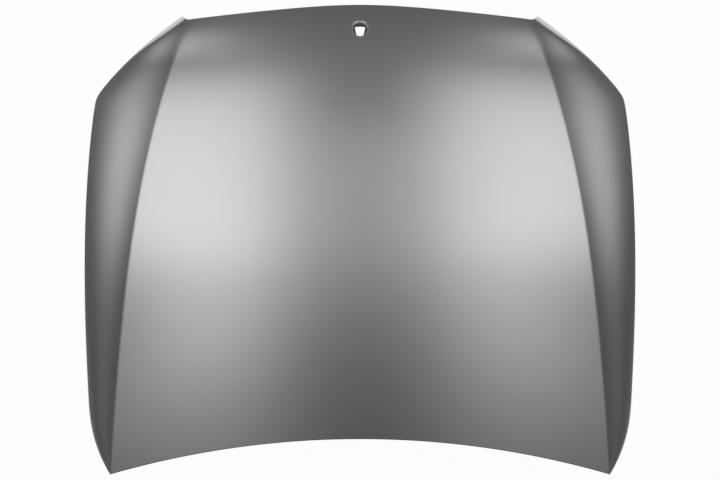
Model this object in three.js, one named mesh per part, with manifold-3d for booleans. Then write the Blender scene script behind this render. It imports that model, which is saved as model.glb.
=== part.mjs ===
import * as THREE from "three";
import { mergeVertices } from "three/addons/utils/BufferGeometryUtils.js";
import Module from "manifold-3d";

const wasm = await Module();
wasm.setup();

// A car bonnet in bare sheet aluminium, lying outer face up. X runs across the car, Y towards
// its front and Z up, in millimetres. Everything is mirrored about the plane X = 0.

// Plan of the right half: centre line, rear corner, notch and tip at the front, side edge.
const FRONT_Y = 625;
const REAR_Y = -518;
const REAR_CORNER_X = 666;
const REAR_CORNER_Y = -625;
const NOTCH_X = 459;
const NOTCH_Y = 587;
const FRONT_TIP_X = 477;
const FRONT_TIP_Y = 598.7;
const FRONT_EDGE_BEND = 160; // distance over which the front edge turns at the centre
const CREASE_REAR_Y = -200;
const CREASE_REAR_X = 622.5;
const CREASE_FRONT_Y = 200;
const CREASE_FRONT_X = 558;
const SIDE_FRONT_Y = 372;
const SIDE_FRONT_X = 707;
const SIDE_MIDDLE_Y = 100;
const SIDE_MIDDLE_X = 725;
const SIDE_WIDEST_Y = -200;
const SIDE_WIDEST_X = 729.5;
const SIDE_REAR_Y = -480;
const SIDE_REAR_X = 723;
const TUCK_START_Y = -420;
const TUCK_DEPTH = 51;
const TUCK_POWER = 2.6;
const LAMP_MIDDLE_Y = 508;
const LAMP_MIDDLE_X = 588.5;
const LAMP_REAR_Y = 400;
const LAMP_REAR_X = 691;
const LAMP_CORNER_ROUND = 9;
const REAR_CORNER_CUT = 14;

// Shape of the outer surface: slopes are rises per millimetre.
const REAR_EDGE_HEIGHT = 100;
const REAR_SLOPE = 0.14;
const NOSE_SLOPE = 0.53;
const NOSE_POWER = 2.2;
const CROWN_RADIUS = 3000;
const SIDE_SLOPE = 0.344;
const SIDE_CURVE = 0.82;
const SIDE_HOLLOW = 0.45;
const SIDE_GAIN_REAR = 1.25;
const SIDE_GAIN_MIDDLE = 1;
const SIDE_GAIN_FRONT = 0.75;
const NARROWEST_SIDE = 15;
const CREASE_ROUND = 4;
const CREASE_ROUND_FRONT = 25;
const CREASE_FADE_LENGTH = 110;
const INNER_CREASE_ROUND = 30;

// Sheets and the folded hem that joins them.
const SKIN = 1;
const INNER = 0.9;
const HEM_GAP = 0.6;
const HEM_WIDTH = 12;
const HEM_BULGE = 1;
const HEM_CORNER = 0.7;
const HEM_LAND = 15;
const JOGGLE_LENGTH = 8;
const MASTIC_DEPTH = 6; // outer face of the skin down to the top of the inner panel's flanges

// Pressed channels of the inner panel.
const CHANNEL_START = 28;
const CHANNEL_WALL_RUN = 14;
const CHANNEL_DEPTH = 20;
const CHANNEL_WIDTH = 45;
const CHANNEL_EXTRA_FRONT = 65;
const CHANNEL_EXTRA_REAR = 20;
const FRAME_FLANGE = 20;
const RIB_HALF_BOTTOM = 14;
const RIB_HALF_TOP = 26;
const RIB_FLANGE = 24;
const RIB_DEPTH = 17;
const V_RIB_FRONT_X = 120;
const V_RIB_FRONT_Y = 520;
const V_RIB_REAR_X = 430;
const V_RIB_REAR_Y = -490;
const CROSS_RIB_Y = -30;
const CROSS_RIB_END_X = 655;
const WINDOW_CORNER = 28;
const DRAPE_STEP = 130; // longest facet edge of the draped sheet

// Badge seat, and the flat pads that take the hinges, the lock striker and the stays.
const BADGE_Y = 557;
const BADGE_HOLE_RADIUS = 20;
const BADGE_RIM = 3;
const BADGE_LIP_DEPTH = 5;
const KEY_HOLE_WIDTH = 29;
const KEY_HOLE_TAPER = 6;
const KEY_HOLE_LENGTH = 29;
const KEY_HOLE_CORNER = 6;
const PAD_STEP = 2;
const PAD_CORNER = 8;
const PLATE_GAP = 0.3;
const PLATE_MARGIN = 3;
const BOLT_HOLE = 9;
const NUT_FLATS = 13;
const NUT_HEIGHT = 6.5;
const NUT_FLANGE_RADIUS = 9;
const NUT_FLANGE_HEIGHT = 1.5;
const NUT_BORE = 6.8;

// Mastic pads between the flanges and the skin.
const MASTIC_LENGTH = 40;
const MASTIC_WIDTH = 15;
const MASTIC_SKIN_GAP = 0.9;

const aluminium = { color: 0xb4b5b6, roughness: 0.38, metalness: 1 };
const pressing = { color: 0xa4a5a6, roughness: 0.5, metalness: 1 };
const steel = { color: 0x8f9194, roughness: 0.45, metalness: 1 };
const mastic = { color: 0x24252a, roughness: 0.85, metalness: 0 };

const lerp = THREE.MathUtils.lerp;
const clamp = THREE.MathUtils.clamp;

// The smooth curve x(y) through a few chosen [y, x] points.
function curveThrough(points) {
  return (y) =>
    points.reduce((sum, [yHere, x], here) => {
      const others = points.filter((_, other) => other !== here);
      return sum + others.reduce((part, [yOther]) => (part * (y - yOther)) / (yHere - yOther), x);
    }, 0);
}

const creaseX = curveThrough([
  [REAR_CORNER_Y, REAR_CORNER_X],
  [CREASE_REAR_Y, CREASE_REAR_X],
  [CREASE_FRONT_Y, CREASE_FRONT_X],
  [NOTCH_Y, NOTCH_X],
]);

const sideX = curveThrough([
  [SIDE_FRONT_Y, SIDE_FRONT_X],
  [SIDE_MIDDLE_Y, SIDE_MIDDLE_X],
  [SIDE_WIDEST_Y, SIDE_WIDEST_X],
  [SIDE_REAR_Y, SIDE_REAR_X],
]);

const lampX = curveThrough([
  [FRONT_TIP_Y, FRONT_TIP_X],
  [LAMP_MIDDLE_Y, LAMP_MIDDLE_X],
  [LAMP_REAR_Y, LAMP_REAR_X],
]);

// Half width at y: the side edge and the headlight edge meet in a rounded corner.
function edgeX(y) {
  const tuck = Math.max(0, TUCK_START_Y - y) / (TUCK_START_Y - REAR_CORNER_Y);
  const side = sideX(y) - TUCK_DEPTH * tuck ** TUCK_POWER;
  const spread = lampX(LAMP_REAR_Y) - lampX(LAMP_REAR_Y + 1);
  const lamp = lampX(Math.max(y, LAMP_REAR_Y)) + spread * Math.max(0, LAMP_REAR_Y - y);
  return (side + lamp - Math.hypot(side - lamp, LAMP_CORNER_ROUND)) / 2;
}

// Height of the centre line, rising gently from the rear and turning down to the nose.
function centreZ(y) {
  const length = FRONT_Y - REAR_Y;
  const t = (y - REAR_Y) / length;
  const nose = Math.max(t, 0) ** (NOSE_POWER + 1) / (NOSE_POWER + 1);
  return REAR_EDGE_HEIGHT + length * (REAR_SLOPE * t - (REAR_SLOPE + NOSE_SLOPE) * nose);
}

function mainZ(x, y) {
  return centreZ(y) - (x * x) / (2 * CROWN_RADIUS);
}

const sideGain = curveThrough([
  [REAR_CORNER_Y, SIDE_GAIN_REAR],
  [0, SIDE_GAIN_MIDDLE],
  [NOTCH_Y, SIDE_GAIN_FRONT],
]);

// Fall of the side panel at a distance outside the crease: hollow first, then rolling over.
function sideDrop(distance, y) {
  const width = Math.max(edgeX(y) - creaseX(y), NARROWEST_SIDE);
  const s = distance / width;
  const bend = ((s - SIDE_HOLLOW) ** 3 + SIDE_HOLLOW ** 3) / 3;
  return sideGain(y) * width * (SIDE_SLOPE * s + SIDE_CURVE * bend);
}

// The crease is crisp on the skin and fades out towards the front notch.
function skinRound(y) {
  const fade = clamp((y - NOTCH_Y + CREASE_FADE_LENGTH) / CREASE_FADE_LENGTH, 0, 1);
  return lerp(CREASE_ROUND, CREASE_ROUND_FRONT, fade);
}

// The inner panel follows the crease softly, except in the hem at both ends.
function innerRound(y) {
  const fromEnds = Math.min(y - REAR_CORNER_Y, NOTCH_Y - y) - 2 * HEM_LAND;
  return Math.max(skinRound(y), clamp(fromEnds / 3, 0, INNER_CREASE_ROUND));
}

// Height of the outer face at x, y, with the crease rounded over the given distance.
function surfaceZ(x, y, round) {
  const crease = creaseX(y);
  const outside = Math.abs(x) - crease;
  const base = outside < 0 ? mainZ(x, y) : mainZ(crease, y) - sideDrop(outside, y);
  const turn = sideGain(y) * (SIDE_SLOPE + SIDE_CURVE * SIDE_HOLLOW ** 2) - crease / CROWN_RADIUS;
  const near = Math.max(0, round - Math.abs(outside));
  return base - (turn * near * near) / (4 * round);
}

function normalAt(x, y) {
  const step = 0.5;
  const round = innerRound(y);
  const slopeX = (surfaceZ(x + step, y, round) - surfaceZ(x - step, y, round)) / (2 * step);
  const slopeY = (surfaceZ(x, y + step, round) - surfaceZ(x, y - step, round)) / (2 * step);
  return new THREE.Vector3(-slopeX, -slopeY, 1).normalize();
}

function below(x, y, depth, round) {
  const point = new THREE.Vector3(x, y, surfaceZ(x, y, round));
  return point.addScaledVector(normalAt(x, y), -depth);
}

const skinPoint = ([x, y], depth) => below(x, y, depth, skinRound(y));
const innerPoint = ([x, y], depth) => below(x, y, depth, innerRound(y));

// Plan position for q, -1 at the left edge to 1 at the right, and v, 0 at the rear to 1 at the
// front. Rows run from the centre line to the crease and on to the outline.
const LAMP_CORNER_V = 0.76;

function rowEnds(v) {
  const creaseY = lerp(REAR_CORNER_Y, NOTCH_Y, v);
  const alongSide = v / LAMP_CORNER_V;
  const alongLamp = (v - LAMP_CORNER_V) / (1 - LAMP_CORNER_V);
  const sideY = lerp(REAR_CORNER_Y + REAR_CORNER_CUT, SIDE_FRONT_Y, alongSide);
  const edgeY = v < LAMP_CORNER_V ? sideY : lerp(SIDE_FRONT_Y, FRONT_TIP_Y, alongLamp);
  const crease = new THREE.Vector2(creaseX(creaseY), creaseY);
  const edge = new THREE.Vector2(edgeX(edgeY), edgeY);
  const half = crease.x + crease.distanceTo(edge);
  return { crease, edge, half, share: crease.x / half };
}

function plan(q, v) {
  const { crease, edge, share } = rowEnds(v);
  const across = Math.abs(q);
  const side = Math.sign(q);
  if (across > share) {
    const point = crease.clone().lerp(edge, (across - share) / (1 - share));
    return [side * point.x, point.y];
  }
  const u = across / share;
  const bend = FRONT_EDGE_BEND / NOTCH_X;
  const frontSweep = (Math.hypot(bend, u) - bend) / (Math.hypot(bend, 1) - bend);
  const sweep = lerp(u * u, frontSweep, v);
  return [side * u * crease.x, lerp(lerp(REAR_Y, FRONT_Y, v), crease.y, sweep)];
}

// The point that lies a distance inside the outline from the outline's own point at q, v.
function inset(q, v, distance) {
  const length = FRONT_Y - REAR_CORNER_Y;
  const shrink = 1 - (2 * distance) / length;
  return plan(q * (1 - distance / rowEnds(v).half), 0.5 + (v - 0.5) * shrink);
}

// Columns and rows of the skin, with one line just inside the hem all round.
const MAIN_COLUMNS = 8;
const SIDE_COLUMNS = 4;
const ROWS = 20;
const ROW_CROWDING = 0.25; // rows lie closer together towards the nose, which bends more

const crowded = (t) => t + ROW_CROWDING * t * (1 - t);

function rowStations() {
  const hem = HEM_LAND / (FRONT_Y - REAR_CORNER_Y);
  const inner = Array.from({ length: ROWS + 1 }, (_, i) => lerp(hem, 1 - hem, crowded(i / ROWS)));
  return [0, ...inner, 1];
}

function columnStations(v) {
  const { share, half } = rowEnds(v);
  const hem = Math.min(HEM_LAND / half, (1 - share) * 0.4);
  const right = [];
  for (let i = 1; i <= MAIN_COLUMNS; i++) right.push((share * i) / MAIN_COLUMNS);
  for (let i = 1; i <= SIDE_COLUMNS; i++) right.push(lerp(share, 1 - hem, i / SIDE_COLUMNS));
  right.push(1);
  return [...right.map((q) => -q).reverse(), 0, ...right];
}

// The outline as a list of [q, v], anticlockwise from the rear left corner, seen from above.
function outlineStations() {
  const rows = rowStations();
  const rear = columnStations(0).map((q) => [q, 0]);
  const right = rows.slice(1, -1).map((v) => [1, v]);
  const front = columnStations(1).reverse().map((q) => [q, 1]);
  const left = rows.slice(1, -1).reverse().map((v) => [-1, v]);
  return [...rear, ...right, ...front, ...left];
}

// A solid from points and triangles, turned so that its faces point outwards.
function solidOf(points, triangles) {
  const vertProperties = new Float32Array(points.length * 3);
  points.forEach((point, i) => point.toArray(vertProperties, i * 3));
  let volume = 0;
  for (let i = 0; i < triangles.length; i += 3) {
    const [a, b, c] = triangles.slice(i, i + 3).map((index) => points[index]);
    volume += a.dot(b.clone().cross(c));
  }
  const triVerts = new Uint32Array(volume < 0 ? triangles.reverse() : triangles);
  return new wasm.Manifold(new wasm.Mesh({ numProp: 3, vertProperties, triVerts }));
}

function solidOfGeometry(geometry) {
  geometry.deleteAttribute("normal");
  geometry.deleteAttribute("uv");
  const merged = mergeVertices(geometry, 1e-4);
  const vertProperties = new Float32Array(merged.attributes.position.array);
  const triVerts = new Uint32Array(merged.index.array);
  return new wasm.Manifold(new wasm.Mesh({ numProp: 3, vertProperties, triVerts }));
}

// Adds the two triangles of the quad a, b, c, d to the list.
function addQuad(triangles, a, b, c, d) {
  triangles.push(a, b, c, a, c, d);
}

// A sheet between a top and a bottom net of points, closed round its rim by extra rings of
// points that run from the top edge to the bottom edge.
function sheetSolid(top, bottom, rims = []) {
  const rows = top.length;
  const columns = top[0].length;
  const count = rows * columns;
  const points = [...top.flat(), ...bottom.flat(), ...rims.flat()];
  const triangles = [];
  for (let r = 0; r + 1 < rows; r++) {
    for (let c = 0; c + 1 < columns; c++) {
      const a = r * columns + c;
      const d = a + columns;
      addQuad(triangles, a, a + 1, d + 1, d);
      addQuad(triangles, count + a, count + d, count + d + 1, count + a + 1);
    }
  }
  const rim = [];
  for (let c = 0; c < columns; c++) rim.push(c);
  for (let r = 1; r + 1 < rows; r++) rim.push(r * columns + columns - 1);
  for (let c = columns - 1; c >= 0; c--) rim.push((rows - 1) * columns + c);
  for (let r = rows - 2; r > 0; r--) rim.push(r * columns);
  const rings = [rim];
  rims.forEach((_, k) => rings.push(rim.map((__, i) => 2 * count + k * rim.length + i)));
  rings.push(rim.map((i) => count + i));
  for (let k = 0; k + 1 < rings.length; k++) {
    for (let i = 0; i < rim.length; i++) {
      const next = (i + 1) % rim.length;
      addQuad(triangles, rings[k][i], rings[k + 1][i], rings[k + 1][next], rings[k][next]);
    }
  }
  return solidOf(points, triangles);
}

// A section of points carried round a closed path of stations.
function ringSolid(sections) {
  const across = sections[0].length;
  const triangles = [];
  sections.forEach((_, i) => {
    const here = i * across;
    const there = ((i + 1) % sections.length) * across;
    for (let j = 0; j < across; j++) {
      const next = (j + 1) % across;
      addQuad(triangles, here + j, there + j, there + next, here + next);
    }
  });
  return solidOf(sections.flat(), triangles);
}

// A section carried along an open path, with the outline given once for its two end faces.
function barSolid(sections, outline) {
  const across = sections[0].length;
  const last = (sections.length - 1) * across;
  const triangles = [];
  for (let i = 0; i + 1 < sections.length; i++) {
    for (let j = 0; j < across; j++) {
      const next = (j + 1) % across;
      const here = i * across;
      addQuad(triangles, here + j, here + across + j, here + across + next, here + next);
    }
  }
  const flat = outline.map(([x, y]) => new THREE.Vector2(x, y));
  THREE.ShapeUtils.triangulateShape(flat, []).forEach(([a, b, c]) => {
    triangles.push(a, b, c, last + a, last + c, last + b);
  });
  return solidOf(sections.flat(), triangles);
}

// A place on the smooth surface with Z along its normal, X across the car and a turn about Z.
function placeAt(x, y, turn = 0) {
  const normal = normalAt(x, y);
  const along = new THREE.Vector3(1, 0, 0).addScaledVector(normal, -normal.x).normalize();
  const forward = normal.clone().cross(along);
  const place = new THREE.Matrix4().makeBasis(along, forward, normal);
  place.setPosition(x, y, surfaceZ(x, y, innerRound(y)));
  return place.multiply(new THREE.Matrix4().makeRotationZ(turn));
}

// An upright prism from depth low to depth high below the surface at its place.
function prism(shape, low, high, place) {
  const geometry = new THREE.ExtrudeGeometry(shape, {
    depth: low - high,
    bevelEnabled: false,
    curveSegments: 4,
  });
  geometry.translate(0, 0, -low);
  geometry.applyMatrix4(place);
  return solidOfGeometry(geometry);
}

function roundedRectangle(width, length, corner) {
  return roundedOutline(
    [
      [-width / 2, -length / 2],
      [width / 2, -length / 2],
      [width / 2, length / 2],
      [-width / 2, length / 2],
    ],
    corner,
  );
}

// A closed outline whose corners are replaced by curves that start a distance before them.
function roundedOutline(corners, distance) {
  const shape = new THREE.Shape();
  corners.forEach((corner, i) => {
    const here = new THREE.Vector2(...corner);
    const before = new THREE.Vector2(...corners[(i + corners.length - 1) % corners.length]);
    const after = new THREE.Vector2(...corners[(i + 1) % corners.length]);
    const start = here.clone().add(before.sub(here).setLength(distance));
    const end = here.clone().add(after.sub(here).setLength(distance));
    if (i === 0) shape.moveTo(start.x, start.y);
    else shape.lineTo(start.x, start.y);
    shape.quadraticCurveTo(here.x, here.y, end.x, end.y);
  });
  shape.closePath();
  return shape;
}

function circle(radius, sides) {
  const shape = new THREE.Shape();
  for (let i = 0; i < sides; i++) {
    const angle = (2 * Math.PI * i) / sides;
    const x = radius * Math.cos(angle);
    const y = radius * Math.sin(angle);
    if (i === 0) shape.moveTo(x, y);
    else shape.lineTo(x, y);
  }
  shape.closePath();
  return shape;
}

function meshOf(name, solid, look) {
  const { numProp, vertProperties, triVerts } = solid.getMesh();
  const positions = new Float32Array((vertProperties.length / numProp) * 3);
  for (let i = 0; i < positions.length / 3; i++) {
    positions.set(vertProperties.subarray(i * numProp, i * numProp + 3), i * 3);
  }
  const geometry = new THREE.BufferGeometry();
  geometry.setAttribute("position", new THREE.BufferAttribute(positions, 3));
  geometry.setIndex(new THREE.BufferAttribute(new Uint32Array(triVerts), 1));
  geometry.computeVertexNormals();
  const mesh = new THREE.Mesh(geometry, new THREE.MeshStandardMaterial(look));
  mesh.name = name;
  return mesh;
}

// Depths in the folded hem, from the outer face of the skin.
const HEM_DEPTH = 2 * SKIN + 2 * HEM_GAP + INNER;
const HEM_FOLD_TOP = HEM_DEPTH - SKIN;
const INNER_TOP_IN_HEM = SKIN + HEM_GAP;

// The outer skin: one pressed sheet, its edge folded back on itself all round as a hem.
function outerPanel() {
  const net = rowStations().map((v) => columnStations(v).map((q) => plan(q, v)));
  const top = net.map((row) => row.map((point) => skinPoint(point, 0)));
  const bottom = net.map((row) => row.map((point) => skinPoint(point, SKIN)));
  const fold = outlineStations().map(([q, v]) => {
    const edge = plan(q, v);
    const within = inset(q, v, HEM_WIDTH);
    const top = skinPoint(edge, 0);
    const outward = top.clone().sub(skinPoint(within, 0)).setLength(HEM_BULGE);
    return [
      skinPoint(edge, HEM_CORNER).add(outward),
      skinPoint(edge, HEM_DEPTH - HEM_CORNER).add(outward),
      skinPoint(edge, HEM_DEPTH),
      skinPoint(within, HEM_DEPTH),
      skinPoint(within, HEM_FOLD_TOP),
      skinPoint(edge, HEM_FOLD_TOP),
    ];
  });
  const rims = fold[0].map((_, ring) => fold.map((points) => points[ring]));
  const sheet = sheetSolid(top, bottom, rims);
  return badgeHole(sheet);
}

// The round badge hole, its edge turned down into a short lip.
function badgeHole(sheet) {
  const place = placeAt(0, BADGE_Y);
  const rimRadius = BADGE_HOLE_RADIUS + BADGE_RIM;
  const sides = 32;
  const cut = prism(circle(rimRadius - SKIN, sides), MASTIC_DEPTH, -MASTIC_DEPTH, place);
  const profile = [
    [BADGE_HOLE_RADIUS, BADGE_LIP_DEPTH],
    [BADGE_HOLE_RADIUS + SKIN, BADGE_LIP_DEPTH],
    [BADGE_HOLE_RADIUS + SKIN, BADGE_RIM + SKIN / 2],
    [rimRadius + SKIN, 0.85 * SKIN],
    [rimRadius + SKIN, 0.15 * SKIN],
    [rimRadius - SKIN / 2, 0.15 * SKIN],
    [BADGE_HOLE_RADIUS, BADGE_RIM],
  ].map(([radius, depth]) => new THREE.Vector2(radius, -depth));
  const lip = new THREE.LatheGeometry([...profile, profile[0].clone()], sides);
  lip.rotateX(Math.PI / 2);
  lip.applyMatrix4(place);
  return sheet.subtract(cut).add(solidOfGeometry(lip));
}

// Distances inside the outline where the perimeter channel's floor starts and ends.
function channelFloor(q, v) {
  const extra = lerp(CHANNEL_EXTRA_REAR, CHANNEL_EXTRA_FRONT, v);
  const start = CHANNEL_START + CHANNEL_WALL_RUN;
  return [start, start + CHANNEL_WIDTH + extra * (1 - q * q)];
}

// The inner panel is laid out flat first, as a sheet at its depths below the skin's outer face,
// and then draped under the skin.
const flatPoint = ([x, y], depth) => new THREE.Vector3(x, y, -depth);

// Perimeter of the inner panel: the flat edge in the hem, a joggle, and the channel's outside.
function perimeterOuter() {
  const level = MASTIC_DEPTH;
  const lower = MASTIC_DEPTH + INNER;
  const floor = lower + CHANNEL_DEPTH;
  return ringSolid(
    outlineStations().map(([q, v]) => {
      const [start, end] = channelFloor(q, v);
      const section = [
        [HEM_BULGE / 2, INNER_TOP_IN_HEM],
        [HEM_LAND, INNER_TOP_IN_HEM],
        [HEM_LAND + JOGGLE_LENGTH, level],
        [end + CHANNEL_WALL_RUN, level],
        [end + CHANNEL_WALL_RUN, lower],
        [end, floor],
        [start, floor],
        [CHANNEL_START, lower],
        [HEM_LAND + JOGGLE_LENGTH, lower],
        [HEM_LAND, INNER_TOP_IN_HEM + INNER],
        [HEM_BULGE / 2, INNER_TOP_IN_HEM + INNER],
      ];
      return section.map(([distance, depth]) => flatPoint(inset(q, v, distance), depth));
    }),
  );
}

function perimeterHollow() {
  const floor = MASTIC_DEPTH + CHANNEL_DEPTH;
  return ringSolid(
    outlineStations().map(([q, v]) => {
      const [start, end] = channelFloor(q, v);
      const section = [
        [CHANNEL_START + INNER, MASTIC_DEPTH - INNER],
        [end + CHANNEL_WALL_RUN - INNER, MASTIC_DEPTH - INNER],
        [end - INNER / 2, floor],
        [start + INNER / 2, floor],
      ];
      return section.map(([distance, depth]) => flatPoint(inset(q, v, distance), depth));
    }),
  );
}

// A flat plate with a plan outline, from one depth to another.
function flatPlate(shape, low, high) {
  return prism(shape, low, high, new THREE.Matrix4());
}

// The web of the inner panel, from which the windows are cut.
function web() {
  const outline = outlineStations().map(([q, v]) => {
    const [, end] = channelFloor(q, v);
    return new THREE.Vector2(...inset(q, v, end + CHANNEL_WALL_RUN / 2));
  });
  return flatPlate(new THREE.Shape(outline), MASTIC_DEPTH + INNER, MASTIC_DEPTH);
}

// Halves every edge longer than the given length until none is left.
function splitLongEdges(points, triangles, longest) {
  const middles = new Map();
  const middleOf = (a, b) => {
    const key = a < b ? a + "_" + b : b + "_" + a;
    if (!middles.has(key) && points[a].distanceTo(points[b]) > longest) {
      middles.set(key, points.push(points[a].clone().lerp(points[b], 1 / 2)) - 1);
    }
    return middles.get(key);
  };
  const result = [];
  for (let i = 0; i < triangles.length; i += 3) {
    const corners = triangles.slice(i, i + 3);
    const [ab, bc, ca] = corners.map((corner, k) => middleOf(corner, corners[(k + 1) % 3]));
    const [a, b, c] = corners;
    const count = [ab, bc, ca].filter((middle) => middle !== undefined).length;
    if (count === 0) result.push(a, b, c);
    if (count === 3) result.push(a, ab, ca, ab, b, bc, ca, bc, c, ab, bc, ca);
    if (count === 1 || count === 2) {
      // turned so that the first edge is split and, of two split edges, the second is too
      let turned = [a, b, c, ab, bc, ca];
      while (turned[3] === undefined || (count === 2 && turned[4] === undefined)) {
        const [p, q, r, pq, qr, rp] = turned;
        turned = [q, r, p, qr, rp, pq];
      }
      const [p, q, r, pq, qr] = turned;
      if (count === 1) result.push(p, pq, r, pq, q, r);
      else result.push(p, pq, qr, p, qr, r, pq, q, qr);
    }
  }
  return middles.size > 0 ? splitLongEdges(points, result, longest) : result;
}

// Bends a flat solid to the underside of the skin.
function drape(solid) {
  const { numProp, vertProperties, triVerts } = solid.getMesh();
  const points = [];
  for (let i = 0; i < vertProperties.length; i += numProp) {
    points.push(new THREE.Vector3(...vertProperties.subarray(i, i + 3)));
  }
  const triangles = splitLongEdges(points, Array.from(triVerts), DRAPE_STEP);
  return solidOf(
    points.map(({ x, y, z }) => innerPoint([x, y], -z)),
    triangles,
  );
}

// The centre lines of the ribs, each from one plan point to another.
const RIBS = [
  { from: [V_RIB_FRONT_X, V_RIB_FRONT_Y], to: [V_RIB_REAR_X, V_RIB_REAR_Y] },
  { from: [-V_RIB_FRONT_X, V_RIB_FRONT_Y], to: [-V_RIB_REAR_X, V_RIB_REAR_Y] },
  { from: [-CROSS_RIB_END_X, CROSS_RIB_Y], to: [CROSS_RIB_END_X, CROSS_RIB_Y] },
];
// A bar of the given section, [sideways, depth] points, along a rib's centre line.
function ribBar({ from, to }, section) {
  const start = new THREE.Vector2(...from);
  const end = new THREE.Vector2(...to);
  const along = end.clone().sub(start).normalize();
  const sideways = new THREE.Vector2(-along.y, along.x);
  const sections = [start, end].map((middle) =>
    section.map(([offset, depth]) => {
      const point = middle.clone().addScaledVector(sideways, offset);
      return flatPoint([point.x, point.y], depth);
    }),
  );
  return barSolid(sections, section);
}

function ribOuter(rib) {
  const floor = MASTIC_DEPTH + INNER + RIB_DEPTH;
  return ribBar(rib, [
    [-RIB_HALF_TOP, MASTIC_DEPTH],
    [RIB_HALF_TOP, MASTIC_DEPTH],
    [RIB_HALF_TOP, MASTIC_DEPTH + INNER],
    [RIB_HALF_BOTTOM, floor],
    [-RIB_HALF_BOTTOM, floor],
    [-RIB_HALF_TOP, MASTIC_DEPTH + INNER],
  ]);
}

function ribHollow(rib) {
  const floor = MASTIC_DEPTH + RIB_DEPTH;
  return ribBar(rib, [
    [INNER - RIB_HALF_TOP, MASTIC_DEPTH - INNER],
    [RIB_HALF_TOP - INNER, MASTIC_DEPTH - INNER],
    [RIB_HALF_BOTTOM - INNER / 2, floor],
    [INNER / 2 - RIB_HALF_BOTTOM, floor],
  ]);
}

// Straight lines in plan as [point, direction], for the edges of the windows.
function lineBeside([x1, y1], [x2, y2], offset) {
  const direction = new THREE.Vector2(x2 - x1, y2 - y1).normalize();
  const normal = new THREE.Vector2(-direction.y, direction.x);
  return [new THREE.Vector2(x1, y1).addScaledVector(normal, offset), direction];
}

function crossing([p, d], [r, e]) {
  const between = r.clone().sub(p);
  const t = between.cross(e) / d.cross(e);
  return p.clone().addScaledVector(d, t).toArray();
}

// Lines that bound the windows of the right half.
function windowLines() {
  const beside = RIB_HALF_TOP + RIB_FLANGE;
  const [vRib] = RIBS;
  const frame = (q, v) => {
    const [, end] = channelFloor(q, v);
    return inset(q, v, end + CHANNEL_WALL_RUN + FRAME_FLANGE);
  };
  return {
    vInside: lineBeside(vRib.from, vRib.to, -beside),
    vOutside: lineBeside(vRib.from, vRib.to, beside),
    crossFront: lineBeside([0, CROSS_RIB_Y], [1, CROSS_RIB_Y], beside),
    crossRear: lineBeside([0, CROSS_RIB_Y], [1, CROSS_RIB_Y], -beside),
    frontMiddle: lineBeside(frame(0, 1), [1, frame(0, 1)[1]], 0),
    rearMiddle: lineBeside(frame(0, 0), [1, frame(0, 0)[1]], 0),
    frontOutside: lineBeside(frame(0.35, 1), frame(0.75, 1), 0),
    lampSide: lineBeside(frame(1, 0.95), frame(1, 0.8), 0),
    rearOutside: lineBeside(frame(0.6, 0), frame(0.95, 0), 0),
    sideFront: lineBeside(frame(1, 0.5), frame(1, 0.72), 0),
    sideRear: lineBeside(frame(1, 0.15), frame(1, 0.45), 0),
  };
}

const mirrored = (corners) => corners.map(([x, y]) => [-x, y]).reverse();

// The six windows as lists of corners, anticlockwise.
function windowCorners() {
  const lines = windowLines();
  const frontRight = crossing(lines.vInside, lines.frontMiddle);
  const middleFront = crossing(lines.vInside, lines.crossFront);
  const middleRear = crossing(lines.vInside, lines.crossRear);
  const rearRight = crossing(lines.vInside, lines.rearMiddle);
  const opposite = ([x, y]) => [-x, y];
  const outerFront = [
    crossing(lines.vOutside, lines.crossFront),
    crossing(lines.sideFront, lines.crossFront),
    crossing(lines.sideFront, lines.lampSide),
    crossing(lines.lampSide, lines.frontOutside),
    crossing(lines.vOutside, lines.frontOutside),
  ];
  const outerRear = [
    crossing(lines.vOutside, lines.rearOutside),
    crossing(lines.sideRear, lines.rearOutside),
    crossing(lines.sideRear, lines.crossRear),
    crossing(lines.vOutside, lines.crossRear),
  ];
  return [
    [opposite(middleFront), middleFront, frontRight, opposite(frontRight)],
    [opposite(rearRight), rearRight, middleRear, opposite(middleRear)],
    outerFront,
    mirrored(outerFront),
    outerRear,
    mirrored(outerRear),
  ];
}

function windowCut(corners) {
  const shape = roundedOutline(corners, WINDOW_CORNER);
  return flatPlate(shape, MASTIC_DEPTH + CHANNEL_DEPTH, MASTIC_DEPTH - CHANNEL_DEPTH);
}

// Flat pads in the channel floors. Each takes a reinforcement plate with welded nuts.
const PAD_FLOOR = MASTIC_DEPTH + CHANNEL_DEPTH + PAD_STEP;
const PADS = [
  {
    plate: "hinge_reinforcement_right",
    nuts: "hinge_nut_right",
    x: 562,
    y: -527,
    turn: -0.26,
    width: 116,
    length: 50,
    bolts: [
      [-36, 0],
      [36, 0],
    ],
  },
  {
    plate: "hinge_reinforcement_left",
    nuts: "hinge_nut_left",
    x: -562,
    y: -527,
    turn: 0.26,
    width: 116,
    length: 50,
    bolts: [
      [-36, 0],
      [36, 0],
    ],
  },
  {
    plate: "striker_reinforcement",
    nuts: "striker_nut",
    x: 0,
    y: 508,
    turn: 0,
    width: 196,
    length: 54,
    bolts: [
      [-72, 0],
      [-24, 0],
      [24, 0],
      [72, 0],
    ],
  },
  {
    plate: "stay_reinforcement_right",
    nuts: "stay_nut_right",
    x: 661,
    y: 120,
    turn: 0,
    width: 38,
    length: 96,
    bolts: [
      [0, -26],
      [0, 26],
    ],
  },
  {
    plate: "stay_reinforcement_left",
    nuts: "stay_nut_left",
    x: -661,
    y: 120,
    turn: 0,
    width: 38,
    length: 96,
    bolts: [
      [0, -26],
      [0, 26],
    ],
  },
];

const padPlace = (pad) => placeAt(pad.x, pad.y, pad.turn);
const boltPlace = (pad, [x, y]) => padPlace(pad).multiply(new THREE.Matrix4().makeTranslation(x, y, 0));

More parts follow.
